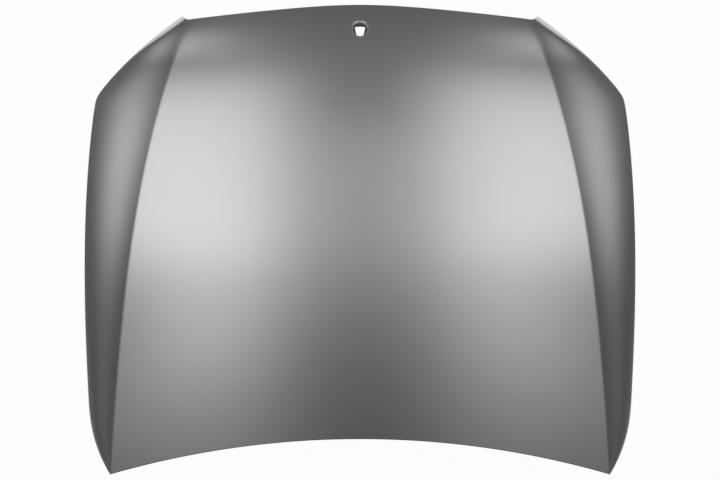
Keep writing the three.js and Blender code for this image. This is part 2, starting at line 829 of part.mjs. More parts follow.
function padOuter(pad) {
  const grow = 2 * (INNER + PAD_STEP);
  const shape = roundedRectangle(pad.width + grow, pad.length + grow, PAD_CORNER + INNER);
  return prism(shape, PAD_FLOOR + INNER, PAD_FLOOR - 2 * PAD_STEP, padPlace(pad));
}

function padHollow(pad) {
  const shape = roundedRectangle(pad.width, pad.length, PAD_CORNER);
  return prism(shape, PAD_FLOOR, MASTIC_DEPTH, padPlace(pad));
}

function boltHoles(pad, low, high) {
  return pad.bolts
    .map((bolt) => prism(circle(BOLT_HOLE / 2, 12), low, high, boltPlace(pad, bolt)))
    .reduce((all, hole) => all.add(hole));
}

// The keyed hole under the badge, wider towards the front.
function keyHole() {
  const half = KEY_HOLE_WIDTH / 2;
  const narrow = half - KEY_HOLE_TAPER;
  const corners = [
    [-narrow, -KEY_HOLE_LENGTH / 2],
    [narrow, -KEY_HOLE_LENGTH / 2],
    [half, KEY_HOLE_LENGTH / 2],
    [-half, KEY_HOLE_LENGTH / 2],
  ];
  const shape = roundedOutline(corners, KEY_HOLE_CORNER);
  return prism(shape, PAD_FLOOR + CHANNEL_DEPTH, MASTIC_DEPTH, placeAt(0, BADGE_Y));
}

const joined = (pieces) => pieces.reduce((all, piece) => all.add(piece));
const without = (body, cuts) => cuts.reduce((all, cut) => all.subtract(cut), body);

// The inner panel: one pressed sheet with a perimeter channel, ribs, windows and flat pads.
function innerPanel() {
  const flat = without(joined([perimeterOuter(), web(), ...RIBS.map(ribOuter)]), [
    perimeterHollow(),
    ...RIBS.map(ribHollow),
    ...windowCorners().map(windowCut),
  ]);
  const holes = PADS.map((pad) => boltHoles(pad, PAD_FLOOR + CHANNEL_DEPTH, PAD_FLOOR - PAD_STEP));
  const padded = joined([drape(flat), ...PADS.map(padOuter)]);
  return without(padded, [...PADS.map(padHollow), ...holes, keyHole()]);
}

// A reinforcement plate lies in its pad, under the nuts that are welded to it.
const PLATE = 1.8;
const PLATE_BOTTOM = PAD_FLOOR - PLATE_GAP;

function reinforcement(pad) {
  const width = pad.width - 2 * PLATE_MARGIN;
  const length = pad.length - 2 * PLATE_MARGIN;
  const shape = roundedRectangle(width, length, PAD_CORNER);
  const plate = prism(shape, PLATE_BOTTOM, PLATE_BOTTOM - PLATE, padPlace(pad));
  return plate.subtract(boltHoles(pad, PLATE_BOTTOM + 1, PLATE_BOTTOM - PLATE - 1));
}

function weldNut(pad, bolt) {
  const seat = PLATE_BOTTOM - PLATE - PLATE_GAP;
  const place = boltPlace(pad, bolt);
  const flange = prism(circle(NUT_FLANGE_RADIUS, 10), seat, seat - NUT_FLANGE_HEIGHT, place);
  const hexagon = circle(NUT_FLATS / Math.sqrt(3), 6);
  const body = prism(hexagon, seat - NUT_FLANGE_HEIGHT / 2, seat - NUT_HEIGHT, place);
  const bore = prism(circle(NUT_BORE / 2, 6), seat + 1, seat - NUT_HEIGHT - 1, place);
  return flange.add(body).subtract(bore);
}

// A mastic pad on a rib's flange, pressed between the inner panel and the skin.
function masticPad(rib, along, side) {
  const start = new THREE.Vector2(...rib.from);
  const end = new THREE.Vector2(...rib.to);
  const direction = end.clone().sub(start).normalize();
  const sideways = new THREE.Vector2(-direction.y, direction.x);
  const middle = start.clone().lerp(end, along);
  middle.addScaledVector(sideways, side * (RIB_HALF_TOP + RIB_FLANGE / 2));
  const net = [-1, 0, 1].map((across) =>
    [-1, 0, 1].map((down) => {
      const point = middle.clone().addScaledVector(direction, (down * MASTIC_LENGTH) / 2);
      point.addScaledVector(sideways, (across * MASTIC_WIDTH) / 2);
      return [point.x, point.y];
    }),
  );
  const top = net.map((row) => row.map((point) => innerPoint(point, SKIN + MASTIC_SKIN_GAP)));
  const bottom = net.map((row) => row.map((point) => innerPoint(point, MASTIC_DEPTH - PLATE_GAP)));
  return sheetSolid(top, bottom);
}

const V_RIB_MASTIC = [0.2, 0.42, 0.75];
const CROSS_RIB_MASTIC = [0.16, 0.38, 0.62, 0.84];

const bonnet = new THREE.Group();
bonnet.add(meshOf("outer_panel", outerPanel(), aluminium));
bonnet.add(meshOf("inner_panel", innerPanel(), pressing));
for (const pad of PADS) {
  bonnet.add(meshOf(pad.plate, reinforcement(pad), steel));
  pad.bolts.forEach((bolt, i) => {
    bonnet.add(meshOf(pad.nuts + "_" + (i + 1), weldNut(pad, bolt), steel));
  });
}
RIBS.forEach((rib, r) => {
  const places = r < 2 ? V_RIB_MASTIC : CROSS_RIB_MASTIC;
  places.forEach((along, i) => {
    for (const side of [-1, 1]) {
      const name = "mastic_" + ["right", "left", "middle"][r] + "_" + (2 * i + (side > 0 ? 2 : 1));
      bonnet.add(meshOf(name, masticPad(rib, along, side), mastic));
    }
  });
});

// The bonnet rests on z = 0 with the middle of its plan at the origin.
const box = new THREE.Box3().setFromObject(bonnet, true);
bonnet.position.set(0, -(box.min.y + box.max.y) / 2, -box.min.z);
bonnet.updateMatrixWorld(true);

export default bonnet;
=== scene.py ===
import math

import bpy
import numpy as np
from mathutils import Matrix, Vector
from mathutils.bvhtree import BVHTree
from mathutils.geometry import delaunay_2d_cdt


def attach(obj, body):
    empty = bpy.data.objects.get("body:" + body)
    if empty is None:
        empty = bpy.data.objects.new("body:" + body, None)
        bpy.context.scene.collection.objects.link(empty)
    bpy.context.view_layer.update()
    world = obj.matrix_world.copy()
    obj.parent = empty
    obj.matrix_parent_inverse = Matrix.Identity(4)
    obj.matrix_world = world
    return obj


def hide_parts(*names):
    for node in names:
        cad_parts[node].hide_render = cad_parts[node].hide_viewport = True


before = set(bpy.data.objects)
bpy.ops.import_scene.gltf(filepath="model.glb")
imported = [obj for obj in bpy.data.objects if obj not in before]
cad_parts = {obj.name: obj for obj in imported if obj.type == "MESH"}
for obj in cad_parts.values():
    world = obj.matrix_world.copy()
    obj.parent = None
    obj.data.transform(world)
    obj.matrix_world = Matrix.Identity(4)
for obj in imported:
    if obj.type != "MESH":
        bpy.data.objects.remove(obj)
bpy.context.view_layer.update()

# Outer panel.
# One sheet of bare aluminium, 1 mm thick, pressed to a crowned shape with a crease down each
# side. Its edge is folded back all round as a hem, and a lipped hole at the nose seats a badge.

# Plan of the right half in millimetres: x across the car, y towards its front.
FRONT_Y = 625
REAR_Y = -518
REAR_CORNER_Y = -625
REAR_CORNER_CUT = 14
NOTCH_X = 459
NOTCH_Y = 587
FRONT_TIP_Y = 598.7
FRONT_EDGE_BEND = 160
SIDE_FRONT_Y = 372
LAMP_REAR_Y = 400
LAMP_CORNER_ROUND = 9
LAMP_CORNER_ALONG = 0.76
TUCK_START_Y = -420
TUCK_DEPTH = 51
TUCK_POWER = 2.6

# Heights and slopes of the pressed shape.
REAR_EDGE_HEIGHT = 100
REAR_SLOPE = 0.14
NOSE_SLOPE = 0.53
NOSE_POWER = 2.2
CROWN_RADIUS = 3000
SIDE_SLOPE = 0.344
SIDE_CURVE = 0.82
SIDE_HOLLOW = 0.45
NARROWEST_SIDE = 15
CREASE_ROUND = 4
CREASE_ROUND_FRONT = 25
CREASE_FADE_LENGTH = 110
INNER_CREASE_ROUND = 30
HEADLIGHT_SLANT = 0.67
TIP_ROLL_START = 465
TIP_ROLL_FULL = 575
TIP_ROLL_WIDTH = 15
TIP_ROLL_SLOPE = 0.6
TIP_ROLL_SOFT = 4
TIP_RISE = 9.6
TIP_SPREAD = 160
MIDDLE_ABOVE_FLOOR = 10.25
MIDDLE_AHEAD = 0.115
SETTLE = 0.9985

# Sheet, hem and badge hole.
SKIN = 1
INNER = 0.9
HEM_GAP = 0.6
HEM_DEPTH = 2 * SKIN + 2 * HEM_GAP + INNER
HEM_WIDTH = 12
HEM_BULGE = 0.95
HEM_LAND = 15
BADGE_Y = 557
BADGE_HOLE = 20
BADGE_LIP_TURN = 4
BADGE_LIP_DEPTH = 5

SKIN_LIGHT = (0.68, 0.68, 0.685, 1)
SKIN_DARK = (0.65, 0.645, 0.64, 1)


def smooth_curve(points):
    def value(y):
        total = 0.0
        for here, (y_here, x) in enumerate(points):
            part = x
            for other, (y_other, _) in enumerate(points):
                if other != here:
                    part = part * (y - y_other) / (y_here - y_other)
            total = total + part
        return total

    return value


crease_x = smooth_curve([(-625, 666), (-200, 622.5), (200, 558), (NOTCH_Y, NOTCH_X)])
side_x = smooth_curve([(SIDE_FRONT_Y, 707), (100, 725), (-200, 729.5), (-480, 723)])
headlight_x = smooth_curve([(FRONT_TIP_Y, 477), (508, 588.5), (LAMP_REAR_Y, 691)])
side_gain = smooth_curve([(-625, 1.25), (0, 1), (NOTCH_Y, 0.75)])


def edge_x(y):
    """Half width of the panel at y, with the corner behind the headlight rounded."""
    tuck = np.maximum(0, TUCK_START_Y - y) / (TUCK_START_Y - REAR_CORNER_Y)
    side = side_x(y) - TUCK_DEPTH * tuck**TUCK_POWER
    spread = headlight_x(LAMP_REAR_Y) - headlight_x(LAMP_REAR_Y + 1)
    behind = np.maximum(0, LAMP_REAR_Y - y)
    headlight = headlight_x(np.maximum(y, LAMP_REAR_Y)) + spread * behind
    return (side + headlight - np.hypot(side - headlight, LAMP_CORNER_ROUND)) / 2


def middle_height(x, y):
    """Height between the creases: a gentle rise from the rear, then down to the nose."""
    length = FRONT_Y - REAR_Y
    t = (y - REAR_Y) / length
    nose = np.maximum(t, 0) ** (NOSE_POWER + 1) / (NOSE_POWER + 1)
    centre = REAR_EDGE_HEIGHT + length * (REAR_SLOPE * t - (REAR_SLOPE + NOSE_SLOPE) * nose)
    return centre - x * x / (2 * CROWN_RADIUS)


def side_drop(distance, y):
    """Fall of the side outside the crease: hollow at first, then rolling over."""
    width = np.maximum(edge_x(y) - crease_x(y), NARROWEST_SIDE)
    s = distance / width
    bend = ((s - SIDE_HOLLOW) ** 3 + SIDE_HOLLOW**3) / 3
    return side_gain(y) * width * (SIDE_SLOPE * s + SIDE_CURVE * bend)


def crisp_round(y):
    fade = np.clip((y - NOTCH_Y + CREASE_FADE_LENGTH) / CREASE_FADE_LENGTH, 0, 1)
    return CREASE_ROUND + (CREASE_ROUND_FRONT - CREASE_ROUND) * fade


def soft_round(y):
    from_ends = np.minimum(y - REAR_CORNER_Y, NOTCH_Y - y) - 2 * HEM_LAND
    return np.maximum(crisp_round(y), np.clip(from_ends / 3, 0, INNER_CREASE_ROUND))


def front_tip(x, y):
    """The front corners stand a little fuller and roll down steeply to the headlight edge."""
    inside = (edge_x(y) - np.abs(x)) * HEADLIGHT_SLANT
    share = np.clip((y - TIP_ROLL_START) / (TIP_ROLL_FULL - TIP_ROLL_START), 0, 1)
    share = share * share * (3 - 2 * share)
    fuller = TIP_RISE * share * np.exp(-((inside / TIP_SPREAD) ** 2))
    past = TIP_ROLL_WIDTH * share - inside
    roll = TIP_ROLL_SLOPE * share**0.5 * (past + np.hypot(past, TIP_ROLL_SOFT)) / 2
    return fuller - roll


def height(x, y, crease_round):
    crease = crease_x(y)
    outside = np.abs(x) - crease
    beyond = np.maximum(outside, 0)
    base = middle_height(np.minimum(np.abs(x), crease), y) - side_drop(beyond, y)
    turn = side_gain(y) * (SIDE_SLOPE + SIDE_CURVE * SIDE_HOLLOW**2) - crease / CROWN_RADIUS
    near = np.maximum(0, crease_round - np.abs(outside))
    return base - turn * near * near / (4 * crease_round) + front_tip(x, y)


def up_at(x, y):
    """Direction square to the panel at a plan point."""
    step = 0.5
    soft = soft_round(y)
    slope_x = (height(x + step, y, soft) - height(x - step, y, soft)) / (2 * step)
    slope_y = (height(x, y + step, soft) - height(x, y - step, soft)) / (2 * step)
    up = np.stack([-slope_x, -slope_y, np.ones_like(slope_x)], axis=-1)
    return up / np.linalg.norm(up, axis=-1, keepdims=True)


def below(x, y, depth, crease_round=crisp_round):
    """Points in metres at a depth under the outer face of the panel."""
    x = np.asarray(x, float)
    y = np.asarray(y, float)
    face = np.stack([x, y, height(x, y, crease_round(y))], axis=-1)
    point = face - up_at(x, y) * np.asarray(depth, float)[..., None]
    point += np.array([0, MIDDLE_AHEAD, MIDDLE_ABOVE_FLOOR])
    return point * np.array([1, 1, SETTLE]) / 1000


def row_ends(v):
    """Crease and edge points of the row at v, 0 at the rear and 1 at the front."""
    crease_y = REAR_CORNER_Y + (NOTCH_Y - REAR_CORNER_Y) * v
    rear_y = REAR_CORNER_Y + REAR_CORNER_CUT
    along_side = rear_y + (SIDE_FRONT_Y - rear_y) * v / LAMP_CORNER_ALONG
    past = (v - LAMP_CORNER_ALONG) / (1 - LAMP_CORNER_ALONG)
    along_headlight = SIDE_FRONT_Y + (FRONT_TIP_Y - SIDE_FRONT_Y) * past
    edge_y = np.where(v < LAMP_CORNER_ALONG, along_side, along_headlight)
    crease = np.stack([crease_x(crease_y), crease_y], axis=-1)
    edge = np.stack([edge_x(edge_y), edge_y], axis=-1)
    half = crease[..., 0] + np.linalg.norm(edge - crease, axis=-1)
    return crease, edge, half


def plan_at(q, v):
    """Plan point for q, -1 at the left edge to 1 at the right, and v along the car."""
    q, v = np.broadcast_arrays(np.asarray(q, float), np.asarray(v, float))
    crease, edge, half = row_ends(v)
    share = crease[..., 0] / half
    across = np.abs(q)
    outer = crease + (edge - crease) * ((across - share) / (1 - share))[..., None]
    u = across / share
    bend = FRONT_EDGE_BEND / NOTCH_X
    front_sweep = (np.hypot(bend, u) - bend) / (math.hypot(bend, 1) - bend)
    sweep = u * u * (1 - v) + front_sweep * v
    centre_y = REAR_Y + (FRONT_Y - REAR_Y) * v
    inner_y = centre_y + (crease[..., 1] - centre_y) * sweep
    x = np.where(across > share, outer[..., 0], u * crease[..., 0])
    y = np.where(across > share, outer[..., 1], inner_y)
    return np.sign(q) * x, y


def inset_at(q, v, distance):
    """The point that lies a distance inside the outline from the outline's point at q, v."""
    shrink = 1 - 2 * distance / (FRONT_Y - REAR_CORNER_Y)
    half = row_ends(np.asarray(v, float))[2]
    return plan_at(q * (1 - distance / half), 0.5 + (v - 0.5) * shrink)


def panel_rows():
    ends = np.array([0, 2, 5, 9]) / 1250
    return np.concatenate([ends, np.linspace(15, 1235, 150) / 1250, 1 - ends[::-1]])


def panel_columns(v):
    """Columns of one row, close together over the crease and at the edge."""
    _, _, half = row_ends(v)
    share = row_ends(v)[0][0] / half
    narrow = (1 - share) * half
    over_crease = np.array([-9, -6.5, -4.5, -3, -1.5, 0, 1.5, 3, 4.5, 6.5, 9]) / half
    over_crease *= min(1, narrow / 40)
    middle = np.linspace(0, share + over_crease[0], 66)[:-1]
    at_edge = np.array([9, 5, 2, 0]) / half * min(1, narrow / 40)
    side = np.linspace(share + over_crease[-1], 1 - at_edge[0], 16)[1:-1]
    right = np.concatenate([middle, share + over_crease, side, 1 - at_edge])
    return np.concatenate([-right[:0:-1], right])


def ring_faces(first, second):
    """Quads between two closed rings of the same number of points."""
    following = np.roll(first, -1), np.roll(second, -1)
    return np.stack([first, second, following[1], following[0]], axis=1).tolist()


def mesh_piece(name, points, faces):
    mesh = bpy.data.meshes.new(name)
    mesh.from_pydata([tuple(p) for p in points], [], faces)
    mesh.validate()
    mesh.update()
    mesh.shade_smooth()
    piece = bpy.data.objects.new(name, mesh)
    bpy.context.scene.collection.objects.link(piece)
    return piece


class Net:
    """Collects points and faces of one mesh."""

    def __init__(self):
        self.points = []
        self.faces = []
        self.count = 0

    def add(self, points):
        points = np.asarray(points).reshape(-1, 3)
        self.points.append(points)
        numbers = np.arange(self.count, self.count + len(points))
        self.count += len(points)
        return numbers

    def join(self, first, second):
        self.faces += ring_faces(first, second)


def badge_patch(net, square, plan_x, plan_y):
    """Fills the square gap in the top and the underside round the lipped badge hole."""
    angle = np.arctan2(plan_y - BADGE_Y, plan_x)
    turned = BADGE_HOLE + BADGE_LIP_TURN
    rings = []
    for depth, start in ((0, turned), (SKIN, turned + SKIN)):
        rings.append([])
        for t in np.linspace(0, 1, 8)[1:]:
            ease = t**0.7
            x = plan_x + (start * np.cos(angle) - plan_x) * ease
            y = plan_y + (BADGE_Y + start * np.sin(angle) - plan_y) * ease
            rings[-1].append(net.add(below(x, y, np.full(len(x), depth))))
    lip = []
    for outside in (0, 1):
        lip.append([])
        for turn in np.linspace(0, math.pi / 2, 7)[1:]:
            radius = BADGE_HOLE + SKIN * outside + BADGE_LIP_TURN * (1 - math.sin(turn))
            depth = SKIN * outside + (BADGE_LIP_TURN - SKIN * outside) * (1 - math.cos(turn))
            x = radius * np.cos(angle)
            y = BADGE_Y + radius * np.sin(angle)
            lip[-1].append(net.add(below(x, y, np.full(len(x), depth))))
    ends = []
    for radius in (BADGE_HOLE, BADGE_HOLE + 0.5 * SKIN, BADGE_HOLE + SKIN):
        depth = BADGE_LIP_DEPTH + (0.3 if radius == BADGE_HOLE + 0.5 * SKIN else 0)
        x = radius * np.cos(angle)
        y = BADGE_Y + radius * np.sin(angle)
        ends.append(net.add(below(x, y, np.full(len(x), depth))))
    path = [square[0], *rings[0], *lip[0], *ends, *lip[1][::-1], *rings[1][::-1], square[1]]
    for first, second in zip(path, path[1:]):
        net.join(second, first)


def outer_panel_mesh():
    """The closed sheet: outer face, underside, folded hem and the lip of the badge hole."""
    rows = panel_rows()
    q = np.array([panel_columns(v) for v in rows])
    v = np.repeat(rows[:, None], q.shape[1], axis=1)
    x, y = plan_at(q, v)
    net = Net()
    top = net.add(below(x, y, np.zeros_like(x))).reshape(x.shape)
    underside = net.add(below(x, y, np.full_like(x, SKIN))).reshape(x.shape)

    middle = q.shape[1] // 2
    row_low = int(np.argmin(np.abs(y[:, middle] - (BADGE_Y - 42))))
    row_high = int(np.argmin(np.abs(y[:, middle] - (BADGE_Y + 42))))
    column_low = int(np.argmin(np.abs(x[row_low] + 42)))
    column_high = 2 * middle - column_low
    for r in range(len(rows) - 1):
        for c in range(q.shape[1] - 1):
            if row_low <= r < row_high and column_low <= c < column_high:
                continue
            a, b, d, e = top[r, c], top[r, c + 1], top[r + 1, c + 1], top[r + 1, c]
            net.faces.append([a, b, d, e])
            a, b, d, e = underside[r, c], underside[r, c + 1], underside[r + 1, c + 1], underside[r + 1, c]
            net.faces.append([a, e, d, b])

    def loop_of(low_r, high_r, low_c, high_c):
        """Row and column numbers round a rectangle of the net, anticlockwise."""
        cells = [(low_r, c) for c in range(low_c, high_c)]
        cells += [(r, high_c) for r in range(low_r, high_r)]
        cells += [(high_r, c) for c in range(high_c, low_c, -1)]
        cells += [(r, low_c) for r in range(high_r, low_r, -1)]
        r, c = np.array(cells).T
        return r, c

    square = loop_of(row_low, row_high, column_low, column_high)
    badge_patch(net, (top[square], underside[square]), x[square], y[square])

    around = loop_of(0, len(rows) - 1, 0, q.shape[1] - 1)
    edge_plan = x[around], y[around]
    within_plan = inset_at(q[around], v[around], HEM_WIDTH)
    count = len(around[0])
    zero = np.zeros(count)
    outward = below(*edge_plan, zero) - below(*within_plan, zero)
    outward /= np.linalg.norm(outward, axis=1, keepdims=True)
    path = [top[around]]
    for turn in np.linspace(0, math.pi, 11)[1:]:
        depth = HEM_DEPTH / 2 * (1 - math.cos(turn))
        bulge = HEM_BULGE * math.sin(turn) / 1000
        path.append(net.add(below(*edge_plan, zero + depth) + outward * bulge))
    for share, depth in ((0.5, 0), (1, 0), (1, 0.15), (1, 0.85), (1, 1), (0.5, 1), (0, 1)):
        out = 0.35 if depth in (0.15, 0.85) else 0
        inward = inset_at(q[around], v[around], HEM_WIDTH * share + out)
        path.append(net.add(below(*inward, zero + HEM_DEPTH - SKIN * depth)))
    path.append(underside[around])
    for first, second in zip(path, path[1:]):
        net.join(first, second)
    return np.concatenate(net.points), net.faces


def rolled_sheet_group():
    """Fine grain of rolled sheet: a mask that changes slowly and a bump height of fine lines."""
    group = bpy.data.node_groups.new("rolled_sheet", "ShaderNodeTree")
    socket = group.interface.new_socket
    socket("Coordinates", in_out="INPUT", socket_type="NodeSocketVector")
    socket("Grain Scale", in_out="INPUT", socket_type="NodeSocketFloat")
    socket("Cloud Scale", in_out="INPUT", socket_type="NodeSocketFloat")
    socket("Clouds", in_out="OUTPUT", socket_type="NodeSocketFloat")
    socket("Grain", in_out="OUTPUT", socket_type="NodeSocketFloat")
    nodes = group.nodes
    link = group.links.new
    entry = nodes.new("NodeGroupInput")
    leave = nodes.new("NodeGroupOutput")
    stretch = nodes.new("ShaderNodeMapping")
    stretch.inputs["Scale"].default_value = (1, 0.06, 1)
    grain = nodes.new("ShaderNodeTexNoise")
    grain.inputs["Detail"].default_value = 3
    clouds = nodes.new("ShaderNodeTexNoise")
    clouds.inputs["Detail"].default_value = 4
    clouds.inputs["Roughness"].default_value = 0.6
    link(entry.outputs["Coordinates"], stretch.inputs["Vector"])
    link(stretch.outputs["Vector"], grain.inputs["Vector"])
    link(entry.outputs["Grain Scale"], grain.inputs["Scale"])
    link(entry.outputs["Coordinates"], clouds.inputs["Vector"])
    link(entry.outputs["Cloud Scale"], clouds.inputs["Scale"])
    link(clouds.outputs["Fac"], leave.inputs["Clouds"])
    link(grain.outputs["Fac"], leave.inputs["Grain"])
    return group


rolled_sheet = rolled_sheet_group()


def sheet_metal(name, dark, light, metallic, roughness, spread, grain_scale, bump):
    """Bare sheet: slow clouds between two greys, uneven gloss and a faint grain."""
    material = bpy.data.materials.new(name)
    material.use_nodes = True
    nodes = material.node_tree.nodes
    link = material.node_tree.links.new
    shader = nodes["Principled BSDF"]
    coordinates = nodes.new("ShaderNodeTexCoord")
    sheet = nodes.new("ShaderNodeGroup")
    sheet.node_tree = rolled_sheet
    sheet.inputs["Grain Scale"].default_value = grain_scale
    sheet.inputs["Cloud Scale"].default_value = 5
    link(coordinates.outputs["Object"], sheet.inputs["Coordinates"])
    colour = nodes.new("ShaderNodeMix")
    colour.data_type = "RGBA"
    colour.inputs["A"].default_value = dark
    colour.inputs["B"].default_value = light
    link(sheet.outputs["Clouds"], colour.inputs["Factor"])
    link(colour.outputs["Result"], shader.inputs["Base Color"])
    gloss = nodes.new("ShaderNodeMapRange")
    gloss.inputs["From Min"].default_value = 0.3
    gloss.inputs["From Max"].default_value = 0.7
    gloss.inputs["To Min"].default_value = roughness - spread
    gloss.inputs["To Max"].default_value = roughness + spread
    link(sheet.outputs["Grain"], gloss.inputs["Value"])
    link(gloss.outputs["Result"], shader.inputs["Roughness"])
    relief = nodes.new("ShaderNodeBump")
    relief.inputs["Strength"].default_value = bump
    relief.inputs["Distance"].default_value = 0.0002
    link(sheet.outputs["Grain"], relief.inputs["Height"])
    link(relief.outputs["Normal"], shader.inputs["Normal"])
    shader.inputs["Metallic"].default_value = metallic
    return material


satin_skin = sheet_metal("satin_aluminium", SKIN_DARK, SKIN_LIGHT, 1, 0.36, 0.012, 420, 0.004)
outer_panel = mesh_piece("outer_panel_skin", *outer_panel_mesh())
outer_panel.data.materials.append(satin_skin)
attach(outer_panel, "root")
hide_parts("outer_panel")

# Inner panel.
# One thinner sheet, pressed with a channel round its edge, three ribs, six windows and five
# flat pads, and gripped in the hem. It stays as the press left it, duller than the skin.
EDGE_DEPTH = SKIN + HEM_GAP
LEVEL_DEPTH = 6
JOGGLE_END = 23
CHANNEL_START = 28
CHANNEL_WALL_RUN = 14
CHANNEL_DEPTH = 20
CHANNEL_WIDTH = 45
CHANNEL_EXTRA_FRONT = 65
CHANNEL_EXTRA_REAR = 20
FRAME_FLANGE = 20
PRESS_ROUND = 4
RIB_HALF_BOTTOM = 14
RIB_HALF_TOP = 26
RIB_FLANGE = 24
RIB_DEPTH = 17
RIBS = (((120, 520), (430, -490)), ((-120, 520), (-430, -490)), ((-655, -30), (655, -30)))
WINDOW_CORNER = 28
PAD_DEPTH = LEVEL_DEPTH + CHANNEL_DEPTH + 2
PAD_CORNER = 8
BOLT_HOLE = 4.5
KEY_HOLE_Y = BADGE_Y + 7
HINGE_BOLTS = ((-36, 0), (36, 0))
STRIKER_BOLTS = ((-72, 0), (-24, 0), (24, 0), (72, 0))
STAY_BOLTS = ((0, -26), (0, 26))
PADS = (
    ("hinge_reinforcement_right", "hinge_nut_right", 562, -527, -0.26, 116, 50, HINGE_BOLTS),
    ("hinge_reinforcement_left", "hinge_nut_left", -562, -527, 0.26, 116, 50, HINGE_BOLTS),
    ("striker_reinforcement", "striker_nut", 0, 508, 0, 196, 54, STRIKER_BOLTS),
    ("stay_reinforcement_right", "stay_nut_right", 661, 120, 0, 38, 96, STAY_BOLTS),
    ("stay_reinforcement_left", "stay_nut_left", -661, 120, 0, 38, 96, STAY_BOLTS),
)
INNER_LIGHT = (0.56, 0.565, 0.57, 1)
INNER_DARK = (0.46, 0.46, 0.465, 1)


def pressed_step(distance, start, end):
    """Rises from 0 to 1 between two distances, with rounded bends."""
    from_start = distance - start
    from_end = distance - end
    first = (from_start + np.hypot(from_start, PRESS_ROUND)) / 2
    second = (from_end + np.hypot(from_end, PRESS_ROUND)) / 2
    return (first - second) / (end - start)


def channel_end(q, v):
    extra = CHANNEL_EXTRA_REAR * (1 - v) + CHANNEL_EXTRA_FRONT * v
    return CHANNEL_START + CHANNEL_WALL_RUN + CHANNEL_WIDTH + extra * (1 - q * q)


def outline_stations():
    """The outline as q and v, anticlockwise from the rear left corner."""
    across = np.linspace(-1, 1, 121)
    along = np.linspace(0, 1, 81)
    q = np.concatenate([across, np.ones(79), across[::-1], -np.ones(79)])
    v = np.concatenate([np.zeros(121), along[1:-1], np.ones(121), along[-2:0:-1]])
    return q, v


def edge_rings():
    """Plan points and depths of rings inside the outline, from the hem to the channel's foot."""
    q, v = outline_stations()
    end = channel_end(q, v)
    fixed = [0.5, 8, 13, 15, 17, 19, 21, 23, 25.5, 27, 29, 31, 35, 39, 41, 43, 46]
    distances = [np.full(len(q), float(d)) for d in fixed]
    distances += [42 + (end - 42) * t for t in (0.3, 0.5, 0.7)]
    distances += [end + d for d in (-4, -1, 1, 3, 7, 11, 13, 15, 18, 26)]
    rings = []
    for d in distances:
        x, y = inset_at(q, v, d)
        joggle = (LEVEL_DEPTH - EDGE_DEPTH) * pressed_step(d, HEM_LAND, JOGGLE_END)
        down = pressed_step(d, CHANNEL_START, CHANNEL_START + CHANNEL_WALL_RUN)
        up = pressed_step(d, end, end + CHANNEL_WALL_RUN)
        rings.append((x, y, EDGE_DEPTH + joggle + CHANNEL_DEPTH * (down - up)))
    return rings


def rib_offsets(x, y):
    """Distance along and beside each rib for plan points."""
    for start, end in RIBS:
        start, end = np.array(start, float), np.array(end, float)
        length = np.linalg.norm(end - start)
        along = (end - start) / length
        across = np.stack([x, y], axis=-1) - start
        yield length, across @ along, across @ np.array([-along[1], along[0]])


def rounded_corners(corners, distance, step=11):
    """A closed outline with curved corners, as points a step or less apart."""
    corners = [np.array(c, float) for c in corners]
    points = []
    for i, corner in enumerate(corners):
        before = corners[i - 1] - corner
        after = corners[(i + 1) % len(corners)] - corner
        start = corner + before / np.linalg.norm(before) * distance
        end = corner + after / np.linalg.norm(after) * distance
        turns = np.linspace(0, 1, 9)[:, None]
        points.append((1 - turns) ** 2 * start + 2 * turns * (1 - turns) * corner + turns**2 * end)
        after_next = corners[(i + 1) % len(corners)]
        back = corner - after_next
        goal = after_next + back / np.linalg.norm(back) * distance
        count = max(2, int(np.linalg.norm(goal - end) / step) + 1)
        points.append(end + (goal - end) * np.linspace(0, 1, count)[1:-1, None])
    return np.concatenate(points)


def line_beside(first, second, offset):
    first, second = np.array(first, float), np.array(second, float)
    along = (second - first) / np.linalg.norm(second - first)
    return first + np.array([-along[1], along[0]]) * offset, along


def crossing(one, other):
    (p, d), (r, e) = one, other
    between = r - p
    t = (between[0] * e[1] - between[1] * e[0]) / (d[0] * e[1] - d[1] * e[0])
    return p + d * t


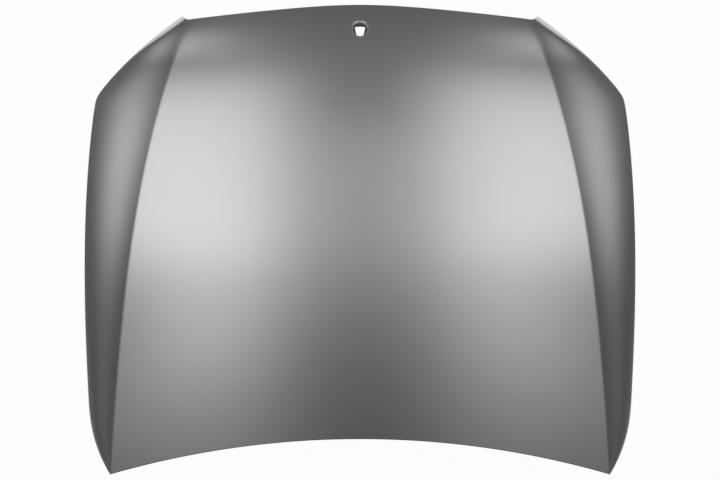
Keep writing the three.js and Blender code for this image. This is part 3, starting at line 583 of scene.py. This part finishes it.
def window_outlines():
    def frame_point(q, v):
        inside = channel_end(q, v) + CHANNEL_WALL_RUN + FRAME_FLANGE
        x, y = inset_at(np.array(q, float), np.array(v, float), inside)
        return float(x), float(y)

    beside = RIB_HALF_TOP + RIB_FLANGE
    v_inside = line_beside(*RIBS[0], -beside)
    v_outside = line_beside(*RIBS[0], beside)
    cross_front = line_beside((0, -30), (1, -30), beside)
    cross_rear = line_beside((0, -30), (1, -30), -beside)
    front_y = frame_point(0, 1)[1]
    rear_y = frame_point(0, 0)[1]
    front_middle = line_beside((0, front_y), (1, front_y), 0)
    rear_middle = line_beside((0, rear_y), (1, rear_y), 0)
    front_outside = line_beside(frame_point(0.35, 1), frame_point(0.75, 1), 0)
    headlight_side = line_beside(frame_point(1, 0.95), frame_point(1, 0.8), 0)
    rear_outside = line_beside(frame_point(0.6, 0), frame_point(0.95, 0), 0)
    side_front = line_beside(frame_point(1, 0.5), frame_point(1, 0.72), 0)
    side_rear = line_beside(frame_point(1, 0.15), frame_point(1, 0.45), 0)
    flip = np.array([-1, 1])
    middle_front = crossing(v_inside, cross_front)
    nose_right = crossing(v_inside, front_middle)
    middle_rear = crossing(v_inside, cross_rear)
    rear_right = crossing(v_inside, rear_middle)
    outer_front = [
        crossing(v_outside, cross_front),
        crossing(side_front, cross_front),
        crossing(side_front, headlight_side),
        crossing(headlight_side, front_outside),
        crossing(v_outside, front_outside),
    ]
    outer_rear = [
        crossing(v_outside, rear_outside),
        crossing(side_rear, rear_outside),
        crossing(side_rear, cross_rear),
        crossing(v_outside, cross_rear),
    ]
    windows = [
        [middle_front * flip, middle_front, nose_right, nose_right * flip],
        [rear_right * flip, rear_right, middle_rear, middle_rear * flip],
        outer_front,
        [corner * flip for corner in outer_front][::-1],
        outer_rear,
        [corner * flip for corner in outer_rear][::-1],
    ]
    return [rounded_corners(corners, WINDOW_CORNER) for corners in windows]


def inside_outline(points, outline):
    x, y = points[:, 0], points[:, 1]
    inside = np.zeros(len(points), bool)
    for (x0, y0), (x1, y1) in zip(outline, np.roll(outline, -1, axis=0)):
        if y0 == y1:
            continue
        crosses = (y0 > y) != (y1 > y)
        inside ^= crosses & (x < (x1 - x0) * (y - y0) / (y1 - y0) + x0)
    return inside


class PadPlace:
    """The flat place of a pad under the skin, in millimetres, with Z square to the skin."""

    def __init__(self, x, y, turn):
        up = up_at(np.array([x], float), np.array([y], float))[0]
        along = np.array([1.0, 0, 0]) - up * up[0]
        along /= np.linalg.norm(along)
        forward = np.cross(up, along)
        self.along = along * math.cos(turn) + forward * math.sin(turn)
        self.forward = forward * math.cos(turn) - along * math.sin(turn)
        self.up = up
        self.plan = np.array([x, y], float)
        self.middle = below([x], [y], [0], soft_round)[0]
        self.to_plan = np.stack([self.along[:2], self.forward[:2]], axis=1)

    def in_plan(self, local):
        return self.plan + np.asarray(local, float) @ self.to_plan.T

    def local_of(self, points):
        return (points - self.plan) @ np.linalg.inv(self.to_plan).T

    def point(self, local, depth):
        local = np.asarray(local, float).reshape(-1, 2)
        offset = local[:, :1] * self.along + local[:, 1:] * self.forward - self.up * depth
        return self.middle + offset * np.array([1, 1, SETTLE]) / 1000


def ring_of(radius, count):
    angle = np.linspace(0, 2 * math.pi, count, endpoint=False)
    return np.stack([radius * np.cos(angle), radius * np.sin(angle)], axis=1)


def pad_outline(width, length, grow):
    w, h = width / 2 + grow, length / 2 + grow
    return rounded_corners([(-w, -h), (w, -h), (w, h), (-w, h)], PAD_CORNER + grow, 8)


def inner_panel_mesh():
    """Plan points joined to a net, laid at their depths under the skin and given a thickness."""
    rings = edge_rings()
    outline = np.stack(rings[0][:2], axis=1)
    windows = window_outlines()
    places = [PadPlace(x, y, turn) for _, _, x, y, turn, _, _, _ in PADS]
    bolts = []
    for place, pad in zip(places, PADS):
        bolts += [place.in_plan(ring_of(BOLT_HOLE, 20) + np.array(bolt)) for bolt in pad[7]]
    narrow, wide, long = 8.5, 14.5, 14.5
    key_corners = [(-narrow, -long), (narrow, -long), (wide, long), (-wide, long)]
    key_place = PadPlace(0, KEY_HOLE_Y, 0)
    key_hole = key_place.in_plan(rounded_corners(key_corners, 6, 4))
    cuts = windows + bolts + [key_hole]

    kept, taken = [], set()

    def put(points, apart):
        for point in points:
            cell = int(point[0] // apart), int(point[1] // apart)
            near = [(cell[0] + i, cell[1] + j, apart) for i in (-1, 0, 1) for j in (-1, 0, 1)]
            if apart and any(key in taken for key in near):
                continue
            kept.append(point)
            for size in (2.2, 5.0):
                taken.add((int(point[0] // size), int(point[1] // size), size))

    edges = []
    for loop in [outline] + cuts:
        first = len(kept)
        kept += list(loop)
        edges += [(first + i, first + (i + 1) % len(loop)) for i in range(len(loop))]
        for point in loop:
            for size in (2.2, 5.0):
                taken.add((int(point[0] // size), int(point[1] // size), size))
    for place, pad in zip(places, PADS):
        for grow in (0, 0.8, 2.9, 4.5):
            loop = place.in_plan(pad_outline(pad[5], pad[6], grow))
            first = len(kept)
            kept += list(loop)
            edges += [(first + i, first + (i + 1) % len(loop)) for i in range(len(loop))]
            for point in loop:
                for size in (2.2, 5.0):
                    taken.add((int(point[0] // size), int(point[1] // size), size))
    for x, y, _ in rings[1:]:
        put(np.stack([x, y], axis=1), 2.2)
    for start, end in RIBS:
        start, end = np.array(start, float), np.array(end, float)
        length = np.linalg.norm(end - start)
        along = (end - start) / length
        sideways = np.array([-along[1], along[0]])
        for offset in (10, 13, 15, 18, 22, 25, 27, 31):
            for side in (-1, 1):
                steps = np.arange(0, length, 11)[:, None]
                put(start + along * steps + sideways * offset * side, 2.2)
    grid = np.mgrid[-720:721:13, -620:621:13].reshape(2, -1).T.astype(float)
    put(grid[inside_outline(grid, outline)], 5.0)

    points = np.array(kept)
    for cut in cuts:
        rim = inside_outline(points, cut)
        rim[: len(outline) + sum(len(c) for c in cuts)] = False
        points[rim] = np.nan
    used = ~np.isnan(points[:, 0])
    number = np.cumsum(used) - 1
    edges = [(int(number[a]), int(number[b])) for a, b in edges if used[a] and used[b]]
    flat, _, faces, _, _, _ = delaunay_2d_cdt(
        [Vector(p) for p in points[used]], edges, [], 0, 1e-4
    )
    plan = np.array([tuple(p) for p in flat])
    faces = np.array(faces)
    centres = plan[faces].mean(axis=1)
    solid = inside_outline(centres, outline)
    for cut in cuts:
        solid &= ~inside_outline(centres, cut)
    faces = faces[solid]
    in_use, faces = np.unique(faces, return_inverse=True)
    faces = faces.reshape(-1, 3)
    plan = plan[in_use]

    net_points = np.concatenate([np.stack([x, y, -d], axis=1) for x, y, d in rings])
    around = len(outline)
    quads = []
    for k in range(len(rings) - 1):
        for i in range(around):
            j = (i + 1) % around
            quads.append([k * around + i, k * around + j, (k + 1) * around + j, (k + 1) * around + i])
    ring_shape = BVHTree.FromPolygons([tuple(p) for p in net_points], quads)
    at_rim = ~inside_outline(plan * 1.001, outline)
    depth = np.where(at_rim, EDGE_DEPTH, float(LEVEL_DEPTH))
    for i, (x, y) in enumerate(plan):
        hit = ring_shape.ray_cast(Vector((x, y, 100)), Vector((0, 0, -1)))
        if hit[0] is not None:
            depth[i] = -hit[0].z
    for length, along, beside in rib_offsets(plan[:, 0], plan[:, 1]):
        press = RIB_DEPTH * (1 - pressed_step(np.abs(beside), RIB_HALF_BOTTOM, RIB_HALF_TOP))
        rib = np.where((along > 0) & (along < length), LEVEL_DEPTH + press, 0)
        depth = (depth + rib + np.hypot(depth - rib, 1)) / 2 - 0.5 * (rib > 0)
    layers = []
    for thickness in (0, INNER):
        layer = below(plan[:, 0], plan[:, 1], depth + thickness, soft_round)
        for place, pad in zip(places, PADS):
            local = place.local_of(plan)
            flat_part = inside_outline(local, pad_outline(pad[5], pad[6], 1))
            layer[flat_part] = place.point(local[flat_part], PAD_DEPTH + thickness)
        layers.append(layer)
    count = len(plan)
    sides = {}
    for a, b, c in faces:
        for edge in ((a, b), (b, c), (c, a)):
            sides[edge] = True
    rims = [(a, b) for a, b in sides if (b, a) not in sides]
    all_faces = faces.tolist() + (faces[:, ::-1] + count).tolist()
    all_faces += [[int(b), int(a), int(a) + count, int(b) + count] for a, b in rims]
    return np.concatenate(layers), all_faces


dull_pressing = sheet_metal("pressed_aluminium", INNER_DARK, INNER_LIGHT, 1, 0.46, 0.03, 220, 0.02)
inner_panel = mesh_piece("inner_panel_pressing", *inner_panel_mesh())
inner_panel.data.set_sharp_from_angle(angle=math.radians(50))
inner_panel.data.materials.append(dull_pressing)
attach(inner_panel, "root")
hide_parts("inner_panel")

# Reinforcement plates.
# Zinc-coated steel plates that lie in the flat pads of the inner panel and spread the load of
# the hinges, the striker and the stays. Their sheared edges are slightly rounded.
PLATE_THICK = 1.8
PLATE_GAP = 0.3
PLATE_MARGIN = 3
PLATE_EDGE = 0.4
ZINC_LIGHT = (0.50, 0.51, 0.53, 1)
ZINC_DARK = (0.36, 0.37, 0.385, 1)


def plate_mesh(place, width, length, bolts):
    """A flat plate with bolt holes, as a net of its face laid twice and joined at its edges."""
    grow = -PLATE_MARGIN
    loops = [pad_outline(width, length, grow)]
    loops += [ring_of(BOLT_HOLE, 24) + np.array(bolt) for bolt in bolts]
    inner = [pad_outline(width, length, grow - PLATE_EDGE)]
    inner += [ring_of(BOLT_HOLE + PLATE_EDGE, 24) + np.array(bolt) for bolt in bolts]
    points, edges = [], []
    for loop in inner:
        first = len(points)
        points += [Vector(p) for p in loop]
        edges += [(first + i, first + (i + 1) % len(loop)) for i in range(len(loop))]
    flat, _, faces, _, _, _ = delaunay_2d_cdt(points, edges, [], 0, 1e-5)
    flat = np.array([tuple(p) for p in flat])
    faces = np.array(faces)
    centres = flat[faces].mean(axis=1)
    solid = inside_outline(centres, inner[0])
    for hole in inner[1:]:
        solid &= ~inside_outline(centres, hole)
    faces = faces[solid]
    low = PAD_DEPTH - PLATE_GAP
    high = low - PLATE_THICK
    net = Net()
    top = net.add(place.point(flat, high))
    bottom = net.add(place.point(flat, low))
    net.faces += top[faces].tolist() + bottom[faces[:, ::-1]].tolist()
    start = 0
    for outer, loop in zip(loops, inner):
        rim = np.arange(start, start + len(loop))
        start += len(loop)
        upper = net.add(place.point(outer, high + PLATE_EDGE))
        lower = net.add(place.point(outer, low - PLATE_EDGE))
        path = [top[rim], upper, lower, bottom[rim]]
        if outer is not loops[0]:
            path.reverse()
        for first, second in zip(path, path[1:]):
            net.join(first, second)
    return np.concatenate(net.points), net.faces


zinc_plate = sheet_metal("zinc_coated_plate", ZINC_DARK, ZINC_LIGHT, 1, 0.42, 0.08, 90, 0.05)
for plate_name, _, pad_x, pad_y, pad_turn, pad_width, pad_length, pad_bolts in PADS:
    pad_place = PadPlace(pad_x, pad_y, pad_turn)
    plate = mesh_piece(plate_name + "_plate", *plate_mesh(pad_place, pad_width, pad_length, pad_bolts))
    plate.data.set_sharp_from_angle(angle=math.radians(30))
    plate.data.materials.append(zinc_plate)
    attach(plate, "root")
    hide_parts(plate_name)

# Weld nuts.
# Flanged hexagon nuts of coated steel, M8, welded to the plates over their bolt holes. One nut
# is set at every hole by the tree, which takes the shape of one nut and the direction of each hole.
NUT_FLATS = 13
NUT_HEIGHT = 6.5
NUT_FLANGE_RADIUS = 9
NUT_FLANGE_HEIGHT = 1.5
NUT_BORE_RADIUS = 3.4
NUT_CHAMFER = 0.6


def nut_shape():
    """One nut about the origin, standing on its flange, in metres."""
    corner = NUT_FLATS / math.sqrt(3)
    angle = np.linspace(0, 2 * math.pi, 48, endpoint=False)
    to_flat = np.abs((angle + math.pi / 6) % (math.pi / 3) - math.pi / 6)
    hexagon = NUT_FLATS / 2 / np.cos(to_flat)
    hexagon = np.minimum(hexagon, corner * 0.985)
    round_top = np.minimum(hexagon, NUT_FLATS / 2 - NUT_CHAMFER * 0.2)
    rows = [
        (np.full(48, NUT_BORE_RADIUS + 0.5), 0),
        (np.full(48, NUT_FLANGE_RADIUS - 0.3), 0),
        (np.full(48, NUT_FLANGE_RADIUS), 0.3),
        (np.full(48, NUT_FLANGE_RADIUS), NUT_FLANGE_HEIGHT * 0.6),
        (hexagon, NUT_FLANGE_HEIGHT),
        (hexagon, NUT_HEIGHT - NUT_CHAMFER),
        (round_top, NUT_HEIGHT),
        (np.full(48, NUT_BORE_RADIUS + 0.5), NUT_HEIGHT),
    ]
    for turn in range(1, 11):
        groove = 0.45 if turn % 2 else 0
        rows.append((np.full(48, NUT_BORE_RADIUS + groove), NUT_HEIGHT * (1 - turn / 11)))
    net = Net()
    rings = []
    for radius, level in rows:
        x, y = radius * np.cos(angle), radius * np.sin(angle)
        rings.append(net.add(np.stack([x, y, np.full(48, level)], axis=1) / 1000))
    for first, second in zip(rings, rings[1:] + rings[:1]):
        net.join(second, first)
    return np.concatenate(net.points), net.faces


def set_at_places(shape_socket, size_sockets, name):
    """A tree that sets a shape at every point, turned to the point's up and ahead values."""
    tree = bpy.data.node_groups.new(name, "GeometryNodeTree")
    socket = tree.interface.new_socket
    socket("Geometry", in_out="INPUT", socket_type="NodeSocketGeometry")
    if shape_socket:
        socket(shape_socket, in_out="INPUT", socket_type="NodeSocketObject")
    for size_name, value in size_sockets:
        made = socket(size_name, in_out="INPUT", socket_type="NodeSocketFloat")
        made.default_value = value
    socket("Finish", in_out="INPUT", socket_type="NodeSocketMaterial")
    socket("Geometry", in_out="OUTPUT", socket_type="NodeSocketGeometry")
    nodes = tree.nodes
    link = tree.links.new
    entry = nodes.new("NodeGroupInput")
    leave = nodes.new("NodeGroupOutput")
    up = nodes.new("GeometryNodeInputNamedAttribute")
    up.data_type = "FLOAT_VECTOR"
    up.inputs["Name"].default_value = "up"
    ahead = nodes.new("GeometryNodeInputNamedAttribute")
    ahead.data_type = "FLOAT_VECTOR"
    ahead.inputs["Name"].default_value = "ahead"
    stand = nodes.new("FunctionNodeAlignRotationToVector")
    stand.axis = "Z"
    turn = nodes.new("FunctionNodeAlignRotationToVector")
    turn.axis = "X"
    turn.pivot_axis = "Z"
    seat = nodes.new("GeometryNodeInstanceOnPoints")
    real = nodes.new("GeometryNodeRealizeInstances")
    finish = nodes.new("GeometryNodeSetMaterial")
    link(up.outputs["Attribute"], stand.inputs["Vector"])
    link(stand.outputs["Rotation"], turn.inputs["Rotation"])
    link(ahead.outputs["Attribute"], turn.inputs["Vector"])
    link(turn.outputs["Rotation"], seat.inputs["Rotation"])
    link(entry.outputs["Geometry"], seat.inputs["Points"])
    link(seat.outputs["Instances"], real.inputs["Geometry"])
    link(entry.outputs["Finish"], finish.inputs["Material"])
    return tree, entry, leave, seat, real, finish


def points_piece(name, positions, ups, aheads):
    mesh = bpy.data.meshes.new(name)
    mesh.from_pydata([tuple(p) for p in positions], [], [])
    for key, values in (("up", ups), ("ahead", aheads)):
        attribute = mesh.attributes.new(key, "FLOAT_VECTOR", "POINT")
        attribute.data.foreach_set("vector", np.asarray(values, float).ravel())
    piece = bpy.data.objects.new(name, mesh)
    bpy.context.scene.collection.objects.link(piece)
    return piece


def grown_mesh(piece, tree, values, name):
    """Runs the tree on the piece with the given inputs and keeps its result as a plain mesh."""
    grower = piece.modifiers.new("grow", "NODES")
    grower.node_group = tree
    for item in tree.interface.items_tree:
        if item.in_out == "INPUT" and item.name in values:
            grower[item.identifier] = values[item.name]
    bpy.context.view_layer.update()
    whole = piece.evaluated_get(bpy.context.evaluated_depsgraph_get())
    mesh = bpy.data.meshes.new_from_object(whole)
    mesh.name = name
    piece.modifiers.clear()
    piece.data = mesh
    piece.name = name
    return piece


nut_steel = sheet_metal("nut_steel", ZINC_DARK, ZINC_LIGHT, 1, 0.35, 0.06, 400, 0.08)
nut_tree, nut_entry, nut_leave, nut_seat, nut_real, nut_finish = set_at_places("Nut", [], "weld_nuts")
nut_source = nut_tree.nodes.new("GeometryNodeObjectInfo")
nut_tree.links.new(nut_entry.outputs["Nut"], nut_source.inputs["Object"])
nut_tree.links.new(nut_source.outputs["Geometry"], nut_seat.inputs["Instance"])
nut_tree.links.new(nut_real.outputs["Geometry"], nut_finish.inputs["Geometry"])
nut_tree.links.new(nut_finish.outputs["Geometry"], nut_leave.inputs["Geometry"])
one_nut = mesh_piece("one_nut", *nut_shape())
for _, nut_name, pad_x, pad_y, pad_turn, _, _, pad_bolts in PADS:
    pad_place = PadPlace(pad_x, pad_y, pad_turn)
    seat_depth = PAD_DEPTH - 2 * PLATE_GAP - PLATE_THICK
    seats = pad_place.point(pad_bolts, seat_depth)
    row = points_piece(
        nut_name + "_seats",
        seats,
        [pad_place.up] * len(seats),
        [pad_place.along] * len(seats),
    )
    nuts = grown_mesh(row, nut_tree, {"Nut": one_nut, "Finish": nut_steel}, nut_name + "_row")
    nuts.data.shade_smooth()
    nuts.data.set_sharp_from_angle(angle=math.radians(28))
    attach(nuts, "root")
    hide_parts(*[nut_name + "_" + str(i + 1) for i in range(len(seats))])
bpy.data.objects.remove(one_nut)

# Mastic beads.
# Soft black mastic laid on the flanges of the ribs, which keeps the skin from drumming. The
# tree lays one squashed, slightly ragged bead at every place.
BEAD_LENGTH = 40
BEAD_WIDTH = 15
BEAD_THICK = 3.8
BEAD_MIDDLE_DEPTH = 3.8
BEAD_SEED = 4
V_RIB_BEADS = (0.2, 0.42, 0.75)
CROSS_RIB_BEADS = (0.16, 0.38, 0.62, 0.84)
BEAD_LIGHT = (0.035, 0.035, 0.038, 1)
BEAD_DARK = (0.018, 0.018, 0.02, 1)


def bead_tree():
    sizes = [("Length", 0.04), ("Width", 0.015), ("Thickness", 0.0038), ("Ragged", 0.001), ("Seed", 0)]
    tree, entry, leave, seat, real, finish = set_at_places(None, sizes, "mastic_beads")
    nodes = tree.nodes
    link = tree.links.new
    size = nodes.new("ShaderNodeCombineXYZ")
    link(entry.outputs["Length"], size.inputs["X"])
    link(entry.outputs["Width"], size.inputs["Y"])
    link(entry.outputs["Thickness"], size.inputs["Z"])
    block = nodes.new("GeometryNodeMeshCube")
    block.inputs["Vertices X"].default_value = 9
    block.inputs["Vertices Y"].default_value = 5
    block.inputs["Vertices Z"].default_value = 3
    link(size.outputs["Vector"], block.inputs["Size"])
    softened = nodes.new("GeometryNodeSubdivisionSurface")
    softened.inputs["Level"].default_value = 1
    link(block.outputs["Mesh"], softened.inputs["Mesh"])
    link(softened.outputs["Mesh"], seat.inputs["Instance"])
    noise = nodes.new("ShaderNodeTexNoise")
    noise.noise_dimensions = "4D"
    noise.inputs["Scale"].default_value = 120
    link(entry.outputs["Seed"], noise.inputs["W"])
    centred = nodes.new("ShaderNodeVectorMath")
    centred.operation = "SUBTRACT"
    centred.inputs[1].default_value = (0.5, 0.5, 0.5)
    link(noise.outputs["Color"], centred.inputs[0])
    flat_noise = nodes.new("ShaderNodeVectorMath")
    flat_noise.operation = "MULTIPLY"
    flat_noise.inputs[1].default_value = (2, 2, 0.1)
    link(centred.outputs["Vector"], flat_noise.inputs[0])
    ragged = nodes.new("ShaderNodeVectorMath")
    ragged.operation = "SCALE"
    link(flat_noise.outputs["Vector"], ragged.inputs[0])
    link(entry.outputs["Ragged"], ragged.inputs["Scale"])
    pushed = nodes.new("GeometryNodeSetPosition")
    link(real.outputs["Geometry"], pushed.inputs["Geometry"])
    link(ragged.outputs["Vector"], pushed.inputs["Offset"])
    link(pushed.outputs["Geometry"], finish.inputs["Geometry"])
    link(finish.outputs["Geometry"], leave.inputs["Geometry"])
    return tree


black_mastic = sheet_metal("black_mastic", BEAD_DARK, BEAD_LIGHT, 0, 0.8, 0.1, 60, 0.4)
mastic_tree = bead_tree()
for rib_name, rib, shares in (
    ("mastic_right", RIBS[0], V_RIB_BEADS),
    ("mastic_left", RIBS[1], V_RIB_BEADS),
    ("mastic_middle", RIBS[2], CROSS_RIB_BEADS),
):
    rib_start, rib_end = np.array(rib[0], float), np.array(rib[1], float)
    rib_way = (rib_end - rib_start) / np.linalg.norm(rib_end - rib_start)
    rib_side = np.array([-rib_way[1], rib_way[0]])
    laid = []
    for bead_share in shares:
        for bead_side in (-1, 1):
            offset = rib_side * bead_side * (RIB_HALF_TOP + RIB_FLANGE / 2)
            laid.append(rib_start + (rib_end - rib_start) * bead_share + offset)
    laid = np.array(laid)
    bead_ups = up_at(laid[:, 0], laid[:, 1])
    bead_places = below(laid[:, 0], laid[:, 1], np.full(len(laid), BEAD_MIDDLE_DEPTH), soft_round)
    row = points_piece(
        rib_name + "_places",
        bead_places,
        bead_ups,
        [(rib_way[0], rib_way[1], 0)] * len(laid),
    )
    bead_values = {
        "Length": BEAD_LENGTH / 1000,
        "Width": BEAD_WIDTH / 1000,
        "Thickness": BEAD_THICK / 1000,
        "Seed": BEAD_SEED,
        "Finish": black_mastic,
    }
    beads = grown_mesh(row, mastic_tree, bead_values, rib_name + "_beads")
    beads.data.shade_smooth()
    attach(beads, "root")
    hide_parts(*[rib_name + "_" + str(i + 1) for i in range(len(laid))])

# Floor, lamps and camera of the studio.
FLOOR_COLOUR = (0.9, 0.9, 0.9, 1)
FLOOR_WHITE = 0.97
floor_mesh = bpy.data.meshes.new("floor")
floor_mesh.from_pydata([(-9, -9, 0), (9, -9, 0), (9, 9, 0), (-9, 9, 0)], [], [(0, 1, 2, 3)])
floor = bpy.data.objects.new("floor", floor_mesh)
bpy.context.scene.collection.objects.link(floor)
floor_material = bpy.data.materials.new("studio_floor")
floor_material.use_nodes = True
floor_nodes = floor_material.node_tree.nodes
floor_link = floor_material.node_tree.links.new
floor_shader = floor_nodes["Principled BSDF"]
floor_shader.inputs["Base Color"].default_value = FLOOR_COLOUR
floor_shader.inputs["Roughness"].default_value = 0.9
floor_glow = floor_nodes.new("ShaderNodeEmission")
floor_rays = floor_nodes.new("ShaderNodeLightPath")
seen = floor_nodes.new("ShaderNodeMath")
seen.operation = "MAXIMUM"
seen_or_through = floor_nodes.new("ShaderNodeMath")
seen_or_through.operation = "MAXIMUM"
share = floor_nodes.new("ShaderNodeMath")
share.operation = "MULTIPLY"
share.inputs[1].default_value = FLOOR_WHITE
floor_mix = floor_nodes.new("ShaderNodeMixShader")
floor_link(floor_rays.outputs["Is Camera Ray"], seen.inputs[0])
floor_link(floor_rays.outputs["Is Glossy Ray"], seen.inputs[1])
floor_link(seen.outputs[0], seen_or_through.inputs[0])
floor_link(floor_rays.outputs["Is Transmission Ray"], seen_or_through.inputs[1])
floor_link(seen_or_through.outputs[0], share.inputs[0])
floor_link(share.outputs[0], floor_mix.inputs[0])
floor_link(floor_shader.outputs[0], floor_mix.inputs[1])
floor_link(floor_glow.outputs[0], floor_mix.inputs[2])
floor_link(floor_mix.outputs[0], floor_nodes["Material Output"].inputs["Surface"])
floor.data.materials.append(floor_material)

world = bpy.data.worlds.new("studio")
bpy.context.scene.world = world
world.use_nodes = True
world.node_tree.nodes["Background"].inputs["Color"].default_value = (1, 1, 1, 1)
world.node_tree.nodes["Background"].inputs["Strength"].default_value = 0.035


def soft_lamp(name, x, y, z, width, length, power, aim):
    lamp = bpy.data.lights.new(name, "AREA")
    lamp.shape = "RECTANGLE"
    lamp.size = width
    lamp.size_y = length
    lamp.energy = power
    piece = bpy.data.objects.new(name, lamp)
    bpy.context.scene.collection.objects.link(piece)
    piece.location = (x, y, z)
    direction = Vector(aim) - Vector((x, y, z))
    piece.rotation_euler = direction.to_track_quat("-Z", "Y").to_euler()


soft_lamp("lamp_left", -1.72, 1.0, 2.2, 2.2, 2.6, 21, (-1.72, 1.0, 0))
soft_lamp("lamp_right", 1.72, 1.0, 2.2, 2.2, 2.6, 19.5, (1.72, 1.0, 0))
soft_lamp("lamp_rear_left", -2.0, -1.1, 4.2, 1.8, 2.1, 9, (-2.0, -1.1, 0))
soft_lamp("lamp_rear_right", 2.0, -1.1, 4.2, 1.8, 2.1, 7, (2.0, -1.1, 0))
soft_lamp("lamp_side_left", -2.0, -1.25, 2.2, 0.4, 2.2, 1.5, (-1.2, -1.0, 0))
soft_lamp("lamp_side_right", 2.0, -1.25, 2.2, 0.4, 2.2, 1.4, (1.2, -1.0, 0))
soft_lamp("lamp_front", 0, 3.4, 2.2, 4.0, 1.6, 2.4, (0, 0.8, 0))
soft_lamp("lamp_overhead", 0, 0.75, 5.0, 2.6, 3.4, 9, (0, 0.75, 0))

camera_data = bpy.data.cameras.new("camera")
camera_data.lens = 69.94
camera_data.sensor_width = 36
camera_data.clip_end = 50
camera = bpy.data.objects.new("camera", camera_data)
bpy.context.scene.collection.objects.link(camera)
camera.location = (0, 0, 3.75)
bpy.context.scene.camera = camera
bpy.context.scene.view_settings.view_transform = "Standard"
